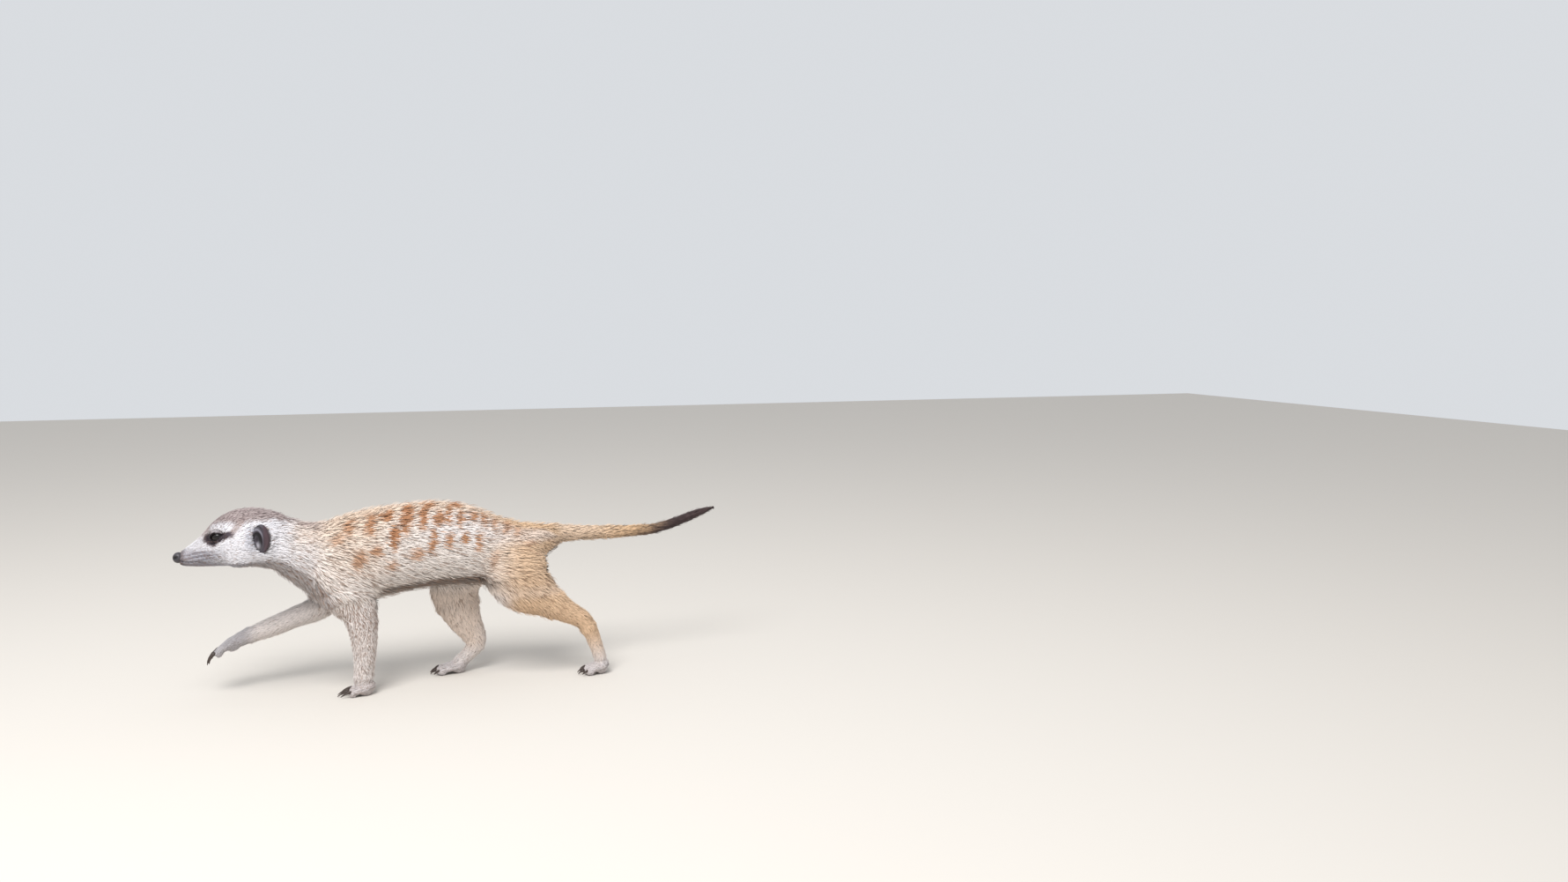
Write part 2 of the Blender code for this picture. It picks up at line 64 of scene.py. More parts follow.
def solid_copy(names, name):
    """One mesh that joins copies of CAD nodes, with their loose triangles welded."""
    bpy.ops.object.select_all(action="DESELECT")
    for node in names:
        copy = bpy.data.objects.new(name, nodes[node].data.copy())
        scene.collection.objects.link(copy)
        copy.select_set(True)
        bpy.context.view_layer.objects.active = copy
    if len(names) > 1:
        bpy.ops.object.join()
    made = bpy.context.view_layer.objects.active
    bpy.ops.object.mode_set(mode="EDIT")
    bpy.ops.mesh.select_all(action="SELECT")
    bpy.ops.mesh.remove_doubles(threshold=1e-5)
    bpy.ops.object.mode_set(mode="OBJECT")
    made.data.materials.clear()
    made.name = name
    return made


def apply_modifier(obj, kind, **settings):
    modifier = obj.modifiers.new(kind.lower(), kind)
    for setting, value in settings.items():
        setattr(modifier, setting, value)
    bpy.ops.object.select_all(action="DESELECT")
    bpy.context.view_layer.objects.active = obj
    obj.select_set(True)
    bpy.ops.object.modifier_apply(modifier=modifier.name)


def places(mesh):
    """A mesh's points, in mm."""
    found = np.empty(len(mesh.vertices) * 3, np.float32)
    mesh.vertices.foreach_get("co", found)
    return found.reshape(-1, 3).astype(float) / MM


def place(mesh, points):
    mesh.vertices.foreach_set("co", (points * MM).astype(np.float32).ravel())
    mesh.update()


def normals(mesh):
    found = np.empty(len(mesh.vertices) * 3, np.float32)
    mesh.vertex_normals.foreach_get("vector", found)
    return found.reshape(-1, 3).astype(float)


def edges(mesh):
    found = np.empty(len(mesh.edges) * 2, np.int32)
    mesh.edges.foreach_get("vertices", found)
    return found.reshape(-1, 2)


def relaxed(values, pairs, rounds, share=0.5):
    """Values at a mesh's points, moved towards their neighbours' mean. The share may differ by point."""
    a, b = pairs.T
    size = len(values)
    count = np.bincount(a, minlength=size) + np.bincount(b, minlength=size)
    values = values.astype(float)
    for _ in range(rounds):
        total = [
            np.bincount(a, column[b], size) + np.bincount(b, column[a], size)
            for column in values.T
        ]
        values = values + share * (np.stack(total, axis=1) / count[:, None] - values)
    return values


def unit(vectors):
    return vectors / np.maximum(np.linalg.norm(vectors, axis=-1, keepdims=True), 1e-9)


def ramp(values, low, high):
    """0 at low, 1 at high, eased between them. High may be the smaller."""
    t = np.clip((values - low) / (high - low), 0, 1)
    return t * t * (3 - 2 * t)


# Which CAD node lies nearest to a point.
flesh_points, flesh_faces, face_node = [], [], []
for index, node in enumerate(flesh_names):
    mesh = nodes[node].data
    start = len(flesh_points)
    flesh_points += [v.co / MM for v in mesh.vertices]
    flesh_faces += [[start + i for i in p.vertices] for p in mesh.polygons]
    face_node += [index] * len(mesh.polygons)
flesh_tree = BVHTree.FromPolygons(flesh_points, flesh_faces)
face_node = np.array(face_node)


def nearest_node(points):
    return face_node[[flesh_tree.find_nearest(Vector(p))[2] for p in points]]


# The coat by region: its depth, the length and width of a lock of hair in mm, locks for each
# square mm, and the lie of the hair.
COAT = {
    "neck": (3.0, 8.0, 0.62, 2.1, (1.0, 0.0, -0.30)),
    "trunk": (3.8, 10.0, 0.72, 1.5, (1.0, 0.0, -0.22)),
    "tail_base": (2.4, 8.0, 0.65, 1.9, (1.0, 0.13, 0.0)),
    "tail_middle": (1.9, 7.0, 0.60, 2.1, (1.0, 0.16, -0.02)),
    "tail_tip": (1.8, 6.5, 0.60, 2.4, (0.9, 0.15, 0.32)),
    "left_elbow": (2.0, 5.5, 0.65, 1.7, (0.30, 0.0, -1.0)),
    "left_foreleg": (1.2, 4.0, 0.50, 2.6, (0.10, 0.0, -1.0)),
    "left_forefoot": (0.5, 2.2, 0.36, 4.2, (-0.8, 0.0, -0.55)),
    "right_elbow": (1.8, 5.5, 0.65, 1.7, (-0.60, 0.0, -0.65)),
    "right_foreleg": (1.2, 4.0, 0.50, 2.6, (-0.93, 0.0, -0.36)),
    "right_forefoot": (0.5, 2.2, 0.36, 4.2, (-0.85, 0.0, -0.5)),
    "left_thigh": (2.8, 8.0, 0.75, 1.3, (0.72, 0.0, -0.62)),
    "left_shank": (1.5, 5.0, 0.60, 1.9, (0.80, 0.0, -0.62)),
    "left_hind_foot": (0.7, 2.8, 0.42, 3.3, (0.25, 0.0, -1.0)),
    "right_thigh": (2.6, 7.5, 0.75, 1.3, (0.20, 0.0, -1.0)),
    "right_shank": (1.5, 5.0, 0.60, 1.9, (0.38, 0.0, -0.93)),
    "right_hind_foot": (0.7, 2.8, 0.42, 3.3, (-0.75, 0.0, -0.65)),
}
# The head's coat along X: place, depth, length, width, locks for each square mm.
HEAD_COAT = np.array([
    (-225, 0.20, 0.8, 0.26, 5.5),
    (-214, 0.35, 1.5, 0.30, 5.2),
    (-202, 0.55, 2.2, 0.34, 4.8),
    (-188, 0.80, 3.0, 0.40, 3.6),
    (-168, 1.40, 4.4, 0.50, 2.6),
    (-150, 2.10, 6.0, 0.60, 1.9),
])
TOES_LEVEL = 12.0  # mm; below it the hair of the hind feet lies along the toes

# The head's own middle plane turns to the left. It passes between the eyes and between the ears.
EYE = {"left": middle_of("left_eye"), "right": middle_of("right_eye")}
EAR = {"left": middle_of("left_ear"), "right": middle_of("right_ear")}
NOSE = middle_of("nose")
EYE_RADIUS = (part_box("left_eye")[1].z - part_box("left_eye")[0].z) / 2 / MM
between_eyes = (EYE["left"] + EYE["right"]) / 2
between_ears = (EAR["left"] + EAR["right"]) / 2
HEAD_TURN = (between_ears[1] - between_eyes[1]) / (between_ears[0] - between_eyes[0])


def across_head(points):
    """Distance from the head's middle plane, positive to the animal's right."""
    return points[:, 1] - between_eyes[1] - HEAD_TURN * (points[:, 0] - between_eyes[0])


def coat_values(points):
    """Depth, length, width, density and lie of the coat at each point, before they are eased."""
    region = nearest_node(points)
    table = np.zeros((len(flesh_names), 7))
    for index, node in enumerate(flesh_names):
        if node != "head":
            *sizes, lie = COAT[node]
            table[index] = (*sizes, *lie)
    values = table[region]
    head = region == flesh_names.index("head")
    for column in range(4):
        along = np.interp(points[head, 0], HEAD_COAT[:, 0], HEAD_COAT[:, column + 1])
        values[head, column] = along
    outward = unit(points[head] - (NOSE + (6.0, 0, 4.0)))
    side = across_head(points[head])
    for word, sign in (("left", -1), ("right", 1)):
        away = points[head] - EYE[word]
        near = np.exp(-((np.linalg.norm(away, axis=1) / 8.0) ** 2))
        outward += 0.5 * unit(away) * near[:, None] * (side * sign > 0)[:, None]
    outward[:, 2] -= 0.25 * ramp(points[head, 2], 132, 116)
    values[head, 4:] = outward
    neck = region == flesh_names.index("neck")
    values[neck, 6] -= 0.45 * ramp(points[neck, 2], 128, 95)
    shoulder = (region == flesh_names.index("trunk")) * ramp(points[:, 0], -70, -105)
    values[:, 6] -= 0.55 * shoulder * ramp(points[:, 2], 135, 95)
    toes = np.isin(region, [flesh_names.index("left_hind_foot"), flesh_names.index("right_hind_foot")])
    toes &= points[:, 2] < TOES_LEVEL
    values[toes, 4:] = (-1.0, 0.0, -0.25)
    return values


hide = solid_copy([*flesh_names, "left_eye", "right_eye", "left_ear", "right_ear", "nose"], "hide")
apply_modifier(hide, "DISPLACE", strength=CLOSING * MM, mid_level=0)
apply_modifier(hide, "REMESH", mode="VOXEL", voxel_size=CELL * MM)

SMOOTHING = {"head": 14, "foot": 3, "leg": 10, "tail": 12}  # rounds; the trunk and neck take the most
MOST_SMOOTHING = 30
points, pairs = places(hide.data), edges(hide.data)
region = nearest_node(points)
rounds_by_node = [
    next((r for word, r in SMOOTHING.items() if word in node), MOST_SMOOTHING) for node in flesh_names
]
allowed = relaxed(np.array(rounds_by_node, float)[region][:, None], pairs, 6)
for step in range(MOST_SMOOTHING):
    points = relaxed(points, pairs, 1, 0.5 * (allowed > step))
depth = relaxed(coat_values(points)[:, :1], pairs, 12)
place(hide.data, points)
INSET_STEPS = 5
for step in range(INSET_STEPS):
    outward = unit(relaxed(normals(hide.data), pairs, 3))
    points = points - outward * depth / INSET_STEPS
    points = relaxed(points, pairs, 1, 0.3)
    place(hide.data, points)


def edit_faces(obj, chosen):
    """Enters edit mode with only these faces selected."""
    bpy.ops.object.select_all(action="DESELECT")
    bpy.context.view_layer.objects.active = obj
    obj.select_set(True)
    bpy.ops.object.mode_set(mode="EDIT")
    bpy.ops.mesh.select_mode(type="FACE")
    bpy.ops.mesh.select_all(action="DESELECT")
    bpy.ops.object.mode_set(mode="OBJECT")
    obj.data.polygons.foreach_set("select", chosen)
    bpy.ops.object.mode_set(mode="EDIT")


def face_centres(mesh):
    found = np.empty(len(mesh.polygons) * 3, np.float32)
    mesh.polygons.foreach_get("center", found)
    return found.reshape(-1, 3).astype(float) / MM


# The trunk, neck, tail and upper legs need fewer faces than the head and feet; the face needs more.
COARSE_SHARE = 0.19
HEAD_END = -146.0  # mm along X
FACE_END = -180.0
HEAD_LEVEL = 100.0  # mm, everything ahead of HEAD_END and over this is head
RAISED_PAW_LEVEL, FOOT_LEVEL = 52.0, 20.0  # mm, feet are under these
centres = face_centres(hide.data)
foot_level = np.where(centres[:, 0] < -140, RAISED_PAW_LEVEL, FOOT_LEVEL)
coarse = (centres[:, 0] > HEAD_END) | (centres[:, 2] < HEAD_LEVEL)
coarse &= centres[:, 2] > foot_level
edit_faces(hide, coarse)
bpy.ops.mesh.decimate(ratio=COARSE_SHARE)
bpy.ops.object.mode_set(mode="OBJECT")
centres = face_centres(hide.data)
edit_faces(hide, (centres[:, 0] < FACE_END) & (centres[:, 2] > HEAD_LEVEL))
bpy.ops.mesh.subdivide(number_cuts=1, smoothness=0)
bpy.ops.object.mode_set(mode="OBJECT")
apply_modifier(hide, "TRIANGULATE")

# Lids, brow and mouth are pressed into the hide.
points, pairs = places(hide.data), edges(hide.data)
face_part = (points[:, 0] < FACE_END - 2) & (points[:, 2] > HEAD_LEVEL)
points = relaxed(points, pairs, 3, 0.4 * face_part[:, None])
place(hide.data, points)
outward = normals(hide.data)

LID_TILT = math.radians(17)  # the eye's long axis rises to the rear
OPENING = (4.9, 2.9)  # mm, half length and half height between the lids
GAZE = (-0.45, 0.86, 0.12)  # which way an eye looks: ahead, out, up
LID_THICKNESS = 0.55  # mm that the lids lie over the eyeball
LID_REACH = (1.6, 1.9)  # mm that the lids reach past the opening
SOCKET = 2.6  # mm that the hide falls back inside the opening
LID_ROLL, EYE_HOLLOW, BROW_SHELF = 0.35, 0.8, 0.7  # mm, heights of the folds round an eye


def eye_axes(word):
    """Middle of the eyeball, its gaze, and the directions to its rear corner and its upper lid."""
    sign = -1 if word == "left" else 1
    gaze = Vector((GAZE[0], sign * GAZE[1] + HEAD_TURN * GAZE[0], GAZE[2])).normalized()
    back = Vector((math.cos(LID_TILT), 0, math.sin(LID_TILT)))
    back = (back - gaze * back.dot(gaze)).normalized()
    up = gaze.cross(back) * sign
    up = up if up.z > 0 else -up
    return np.array(EYE[word]), np.array(gaze), np.array(back), np.array(up)


def almond(rear, rise):
    """How far a point lies from the eye's middle, 1 on the edge of the lids. Both corners are pointed."""
    height = np.maximum(1 - (np.abs(rear) / OPENING[0]) ** 1.7, 0.02) ** 0.75
    upper = OPENING[1] * height * np.where(rise > 0, 1.08, 0.92)
    return np.maximum(np.abs(rise) / upper, np.abs(rear) / OPENING[0])


shut = np.zeros(len(points), bool)  # hide that the eyeball, ears or nose pad cover
for word in ("left", "right"):
    middle, gaze, back, up = eye_axes(word)
    away = points - middle
    ahead, rear, rise = away @ gaze, away @ back, away @ up
    near = (ahead > -2) & (np.hypot(rear, rise) < 14)
    spread = np.hypot(rear / (OPENING[0] + LID_REACH[0]), rise / (OPENING[1] + LID_REACH[1]))
    ball = np.sqrt(np.maximum(EYE_RADIUS**2 - rear**2 - rise**2, 0))
    wanted = ball + LID_THICKNESS
    pull = near * ramp(spread, 1.45, 0.85)
    points += gaze * ((wanted - ahead) * pull)[:, None]
    inside = near * ramp(almond(rear, rise), 1.06, 0.94)
    points -= gaze * (SOCKET * inside)[:, None]
    shut |= (near > 0) & (almond(rear, rise) < 1.0)
    # A roll of skin round the lids, and a hollow in front of and under the eye.
    roll = near * np.exp(-(((spread - 1.25) / 0.22) ** 2))
    points += gaze * (LID_ROLL * roll)[:, None]
    hollow = near * np.exp(-((rear + 8.5) ** 2 + (rise + 3.0) ** 2) / 9.0)
    points -= gaze * (EYE_HOLLOW * hollow)[:, None]
    shelf = near * np.exp(-((rear + 0.5) ** 2 / 40 + (rise - 5.6) ** 2 / 3.2))
    points += gaze * (BROW_SHELF * shelf)[:, None]

# The mouth: a shallow groove between the upper and lower lip that turns up at its rear end.
MOUTH_REAR = -187.0  # mm along X
MOUTH_DEPTH, LIP_ROLL = 0.75, 0.25  # mm
mouth_level = 119.2 + 1.0 * ramp(points[:, 0], -212, -221) - 0.8 * ramp(points[:, 0], -205, -192)
mouth_level += 2.0 * ramp(points[:, 0], -194, MOUTH_REAR)
on_mouth = ramp(points[:, 0], MOUTH_REAR + 2, MOUTH_REAR - 2) * (points[:, 2] < 124)
groove = on_mouth * np.exp(-(((points[:, 2] - mouth_level) / 0.55) ** 2))
upper_lip = on_mouth * np.exp(-(((points[:, 2] - mouth_level - 1.5) / 0.9) ** 2))
points -= outward * (MOUTH_DEPTH * groove - LIP_ROLL * upper_lip)[:, None]

# The hide sinks under the nose pad and the ears, which are pieces of their own.
NOSE_SEAT = (4.9, 5.2, 5.0)  # mm, half sizes of the seat of the nose pad
EAR_SEAT = (6.8, 5.0, 11.4)  # mm, half sizes of the seat of an ear
EAR_SINK = 3.0  # mm
NOSE_SINK = 0.45  # share of the way to a point behind the pad's middle
SEAT_EDGE = (1.1, 0.8)  # the sinking starts and ends here, 1 on the seat's outline


def seat_reach(middle, half_sizes):
    return np.linalg.norm((points - middle) / half_sizes, axis=1)


reach = seat_reach(NOSE, NOSE_SEAT)
points += (NOSE + (2.0, 0, 0) - points) * (NOSE_SINK * ramp(reach, *SEAT_EDGE))[:, None]
for word, sign in (("left", -1), ("right", 1)):
    points[:, 1] -= sign * EAR_SINK * ramp(seat_reach(EAR[word], EAR_SEAT), *SEAT_EDGE)
place(hide.data, points)
bpy.ops.object.select_all(action="DESELECT")

# The nose pad's and the ears' seats carry no hair.
shut |= seat_reach(NOSE, NOSE_SEAT) < 1.0
for word in ("left", "right"):
    shut |= seat_reach(EAR[word], EAR_SEAT) < 1.0

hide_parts(*flesh_names)
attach(hide, "root")

# ---- Markings ----
# The colours of skin and hair, one rule for both: rust bars across a sandy back, a white face
# with dark eye patches, pale legs, a dark tail tip. Colours are named as they look in daylight.


def tint(red, green, blue):
    """A colour given in display values of 0 to 255, as light values."""
    shade = np.array((red, green, blue)) / 255
    return np.where(shade <= 0.04045, shade / 12.92, ((shade + 0.055) / 1.055) ** 2.4)


WHITE = tint(244, 241, 245)
CREAM = tint(240, 229, 221)
SAND = tint(234, 206, 180)
GOLD = tint(226, 184, 138)
RUST = tint(178, 122, 84)
PALE_RUST = tint(203, 154, 118)
TICK_BROWN = tint(142, 108, 86)
TICK_DARK = tint(70, 58, 56)
CROWN_BROWN = tint(172, 152, 147)
MUZZLE_GREY = tint(204, 205, 216)
PATCH_DARK = tint(78, 69, 77)
PATCH_BROWN = tint(112, 94, 94)
THROAT_GREY = tint(172, 164, 162)
BELLY = tint(128, 116, 108)
LEG = tint(234, 224, 219)
TAIL_DARK = tint(74, 58, 58)
FOOT_GREY = tint(206, 198, 198)
# Painted shade for the raised far forefoot.
RAISED_PAW_PAINTED_SHADE = tint(176, 172, 176)
WHISKER_ROOTS = tint(98, 98, 114)
JAW_GREY = tint(128, 126, 138)
NOSE_EDGE = tint(92, 88, 98)
EAR_SHADOW = tint(190, 190, 200)
LID_SKIN = tint(34, 28, 32)
MOUTH_SKIN = tint(52, 46, 54)
SOLE_SKIN = tint(84, 70, 66)

# The spine and the widest level of the trunk along X, in mm.
TRUNK_X = (-118, -102, -78, -47, -18, 4, 26, 45, 70)
SPINE = (142, 146, 151, 155, 154, 149, 139, 132, 129)
WIDEST = (106, 104, 107, 111, 114, 114, 112, 113, 118)
HALF_WIDTH = (24, 27, 29.5, 31, 30, 28.5, 27.5, 24, 16)
GIRTH_MM = 54.0  # along the skin from the spine to the widest level

# Rust bars: place along X, girth (0 at the spine, 1 at the widest level), half length along X
# and half height in mm, strength.
BARS = (
    (-105, 0.52, 4.0, 6.0, 0.40), (-95, 0.36, 4.2, 8.0, 0.55), (-88, 0.84, 6.0, 6.5, 0.50),
    (-79, 0.36, 4.2, 10.0, 0.75), (-75, 0.80, 3.6, 4.5, 0.55), (-66, 0.28, 4.6, 7.0, 0.95),
    (-61, 0.64, 3.6, 9.0, 1.00), (-63, 1.00, 3.2, 4.5, 0.50), (-51, 0.34, 3.9, 14.0, 1.00),
    (-44, 0.92, 5.0, 5.0, 0.50), (-38, 0.40, 3.8, 10.0, 1.00), (-34, 0.13, 4.0, 5.0, 0.75),
    (-31, 0.78, 3.2, 8.0, 0.70), (-26, 0.40, 2.9, 9.0, 0.80), (-18, 0.34, 2.5, 9.0, 0.80),
    (-18, 0.76, 2.9, 7.0, 0.60), (-12, 0.10, 4.0, 6.0, 0.80), (-8, 0.42, 2.7, 9.0, 0.80),
    (-6, 0.74, 2.7, 6.0, 0.65), (1, 0.30, 2.5, 11.0, 0.65), (6, 0.80, 2.7, 8.0, 0.60),
    (10, 0.32, 2.5, 11.0, 0.60), (19, 0.36, 2.5, 12.0, 0.50), (28, 0.36, 2.6, 12.0, 0.48),
    (37, 0.45, 3.2, 10.0, 0.40), (18, 1.12, 4.0, 8.0, 0.35), (48, 0.85, 5.0, 5.0, 0.30),
)
# Patches on the side of the head: place along X and Z, half lengths, tilt in degrees.
EYE_PATCHES = ((-193.5, 138.2, 8.2, 4.4, 12), (-185.5, 139.8, 5.6, 2.7, 8), (-195.0, 134.6, 4.4, 2.8, 0))


def ripple(points, scale, phase):
    """A smooth irregular field between about -1 and 1, whose swells are this many mm long."""
    x, y, z = (points / scale).T
    first = np.sin(1.7 * x + 2.3 * y + phase) * np.sin(1.9 * y - 1.3 * z + 2 * phase)
    second = np.sin(3.1 * z + 1.1 * x - phase) * np.sin(2.7 * x - 2.1 * y + 3 * phase)
    return first + 0.6 * second * np.cos(1.3 * z + 2.9 * y + phase)


def blend(under, over, share):
    return under + (over - under) * np.clip(share, 0, 1)[:, None]


def ellipse(u, v, middle_u, middle_v, half_u, half_v, degrees=0.0, soft=0.35):
    """1 inside an ellipse, 0 outside, with a soft edge."""
    turn = math.radians(degrees)
    a = (u - middle_u) * math.cos(turn) + (v - middle_v) * math.sin(turn)
    b = (v - middle_v) * math.cos(turn) - (u - middle_u) * math.sin(turn)
    return ramp(np.hypot(a / half_u, b / half_v), 1 + soft, 1 - soft)


def girth(points):
    """0 at the spine, 1 at the trunk's widest level, 2 under the belly."""
    x, y, z = points.T
    widest = np.interp(x, TRUNK_X, WIDEST)
    above = np.where(z > widest, np.interp(x, TRUNK_X, SPINE) - widest, 34.0)
    return np.arctan2(np.abs(y) / np.interp(x, TRUNK_X, HALF_WIDTH), (z - widest) / above) * 2 / math.pi


def markings(points):
    """Colour of the hair, share of ticked locks, and the ticks' colour."""
    x, y, z = points.T
    count = len(points)
    wobble = ripple(points, 9.0, 0.4)
    around = girth(points)
    on_trunk = ramp(x, -128, -112) * ramp(x, 78, 66) * ramp(z, 78, 90)

    colour = np.tile(CREAM, (count, 1))
    colour = blend(colour, SAND, 0.75 * ramp(around, 0.75, 0.1) * ramp(x, -120, -80))
    colour = blend(colour, SAND, 0.45 * ramp(x, -128, -95) * ramp(x, -60, -80) * ramp(z, 90, 120))
    colour = blend(colour, GOLD, 0.75 * ramp(x, 0, 45) * ramp(z, 60, 80))
    colour = blend(colour, WHITE, 0.5 * ramp(x, -112, -130))
    colour = blend(colour, SAND, 0.5 * ramp(x, -150, -132) * ramp(x, -85, -105) * ramp(z, 118, 136))
    pale_side = on_trunk * ramp(np.abs(around - 0.55), 0.4, 0.1) * ramp(x, -50, -20)
    colour = blend(colour, WHITE, 0.35 * pale_side)
    ticked = 0.13 + 0.10 * ramp(x, -40, -80) * ramp(x, -125, -105)
    tick = np.tile(TICK_BROWN, (count, 1))

    # Bars across the back.
    stretched = around + 0.035 * wobble
    run = x + 1.6 * ripple(points, 6.0, 1.9)
    bars = np.zeros(count)
    for bar_x, bar_girth, half_x, half_g, strength in BARS:
        found = ellipse(run, stretched * GIRTH_MM, bar_x, bar_girth * GIRTH_MM, half_x, half_g, 6, 0.45)
        bars = np.maximum(bars, strength * found)
    bars *= on_trunk
    colour = blend(colour, PALE_RUST, bars * 1.6)
    colour = blend(colour, RUST, (bars - 0.35) * 1.3)

    # The belly and groin are thinly haired and greyish, with a pale edge along the flank.
    under = on_trunk * ramp(around, 1.36, 1.52) * ramp(x, -86, -66)
    colour = blend(colour, BELLY, under)
    ticked = np.where(under > 0.5, 0.25, ticked)

    # Legs are cream, browner on top, and the feet a little grey.
    low = ramp(z, 86, 70)
    colour = blend(colour, LEG, low)
    hind = ramp(x, -60, -30) * low
    colour = blend(colour, GOLD, 0.8 * hind * ramp(z, 6, 42) * ramp(x, 20, 40))
    # Legs are cream, browner on top, and the feet a little grey; the raised far forefoot gets a darker
    # painted shade.
    colour = blend(colour, SAND, 0.5 * hind * ramp(x, 20, 0) * ramp(z, 15, 30))
    colour = blend(colour, FOOT_GREY, 0.7 * ramp(z, 16, 6))
    # Painted shade: the raised far forefoot is painted a darker grey than the other feet.
    paw = ramp(x, -168, -182) * ramp(z, 62, 56)
    colour = blend(colour, RAISED_PAW_PAINTED_SHADE, 0.8 * paw)
    ticked = ticked + 0.16 * low * ramp(x, -60, -75) * ramp(x, -125, -108) * ramp(z, 25, 60) - 0.08 * hind
    ticked = ticked - 0.15 * low * ramp(x, -118, -135)

    # The tail is sandy, browner to the rear, and dark over its last third.
    tail = ramp(x, 62, 80) * ramp(z, 98, 106)
    colour = blend(colour, SAND, tail * 0.9)
    colour = blend(colour, GOLD, tail * ramp(x, 90, 150) * 0.8)
    tail_level = np.interp(x, (70, 121, 157, 176, 196, 226), (120, 118, 117, 119.5, 125, 133))
    darkening = ramp(x + 16 * ramp(z, tail_level + 2, tail_level - 3) + 4 * wobble, 136, 186)
    colour = blend(colour, TAIL_DARK, tail * darkening)
    ticked = ticked + 0.12 * tail * ramp(x, 100, 150)
    tick = blend(tick, TICK_DARK, tail)

    # Head: white, with a brown-grey crown, a bluish muzzle, dark eye patches and a grey throat.
    head = ramp(x, -130, -154) * ramp(z, 98, 103)
    side = np.abs(across_head(points))
    colour = blend(colour, WHITE, head)
    ticked = ticked * (1 - 0.55 * head)
    crown_edge = np.interp(x, (-212, -203, -197, -188, -176, -165, -150, -138, -120),
                           (134, 138.5, 143.5, 147, 148, 149, 148, 143, 135))
    front = ramp(x, -110, -135) * ramp(z, 98, 103)
    crown = front * ramp(z + 0.8 * wobble, crown_edge - 2.2, crown_edge + 2.0)
    colour = blend(colour, CROWN_BROWN, 0.85 * crown)
    ticked = ticked + 0.30 * crown
    tick = blend(tick, PATCH_BROWN, crown)
    streak = head * ellipse(x, z, -177, 145.5, 8.0, 2.6, 52, 0.5)
    colour = blend(colour, CROWN_BROWN, 0.7 * streak)
    edge = front * np.exp(-(((side - 3.0) / 2.5) ** 2)) * ramp(x, -178, -192) * ramp(z, 140, 146)
    colour = blend(colour, PATCH_BROWN, 0.55 * edge)
    brow = head * ellipse(x, z, -189, 146.6, 9.5, 2.3, 8, 0.45) * (side > 7)
    colour = blend(colour, WHITE, 0.9 * brow)
    muzzle = head * ramp(x, -180, -202) * ramp(z, 131, 125)
    colour = blend(colour, MUZZLE_GREY, 0.85 * muzzle)
    pads = head * ellipse(x, z, -205, 123.5, 13, 4.8, 8, 0.6)
    stripe = 0.5 + 0.5 * np.sin(2.1 * (z - 0.15 * (x + 207)) + 1.5 * wobble)
    colour = blend(colour, WHISKER_ROOTS, 0.7 * pads * stripe)
    ticked = ticked + 0.26 * muzzle
    jaw = head * ramp(z, 119.0, 116.8) * ramp(x, -150, -165)
    colour = blend(colour, JAW_GREY, 0.7 * jaw)
    patch = np.zeros(count)
    for values in EYE_PATCHES:
        patch = np.maximum(patch, ellipse(x + 0.5 * wobble, z + 0.4 * wobble, *values))
    patch *= head * ramp(side, 6.5, 8.5)
    colour = blend(colour, PATCH_BROWN, patch * 1.2)
    colour = blend(colour, PATCH_DARK, 0.9 * ramp(patch, 0.45, 0.95))
    tip = head * ramp(x, -214, -219)
    colour = blend(colour, NOSE_EDGE, 0.8 * tip)
    # Painted shadow: a greyish patch in front of the ear.
    ahead = head * ellipse(x, z, EAR["left"][0] - 7.5, EAR["left"][2], 4.0, 9.0, 0, 0.5) * (side > 14)
    colour = blend(colour, EAR_SHADOW, 0.7 * ahead)

    throat_edge = np.interp(x, (-182, -165, -150, -135, -120, -105), (116.5, 118.5, 119, 111, 100, 86))
    throat = ramp(x, -100, -112) * ramp(z, throat_edge + 2, throat_edge - 3) * ramp(x, -186, -168)
    throat *= ramp(z, 72, 80)
    colour = blend(colour, THROAT_GREY, 0.8 * throat)
    ticked = ticked + 0.15 * throat
    return colour, np.clip(ticked, 0.02, 0.6), tick


# The hide is darker than the hair over it, as the dark roots of the coat are.
UNDERFUR = 0.62
colour, ticked, tick = markings(points)
skin_colour = blend(colour, tick, 0.25 + 0.5 * ticked) * UNDERFUR
for word in ("left", "right"):
    middle, gaze, back, up = eye_axes(word)
    away = points - middle
    ahead, rear, rise = away @ gaze, away @ back, away @ up
    rim = (ahead > 0) * ramp(np.hypot(rear / (OPENING[0] + 0.7), rise / (OPENING[1] + 0.6)), 1.2, 0.95)
    skin_colour = blend(skin_colour, LID_SKIN, rim)
skin_colour = blend(skin_colour, MOUTH_SKIN, groove)
soles = ramp(points[:, 2], 2.2, 0.8)
skin_colour = blend(skin_colour, SOLE_SKIN, soles)
shut |= points[:, 2] < 1.0


def paint(mesh, name, colours):
    layer = mesh.color_attributes.new(name, "FLOAT_COLOR", "POINT")
    rows = np.ones((len(colours), 4), np.float32)
    rows[:, :3] = colours
    layer.data.foreach_set("color", rows.ravel())


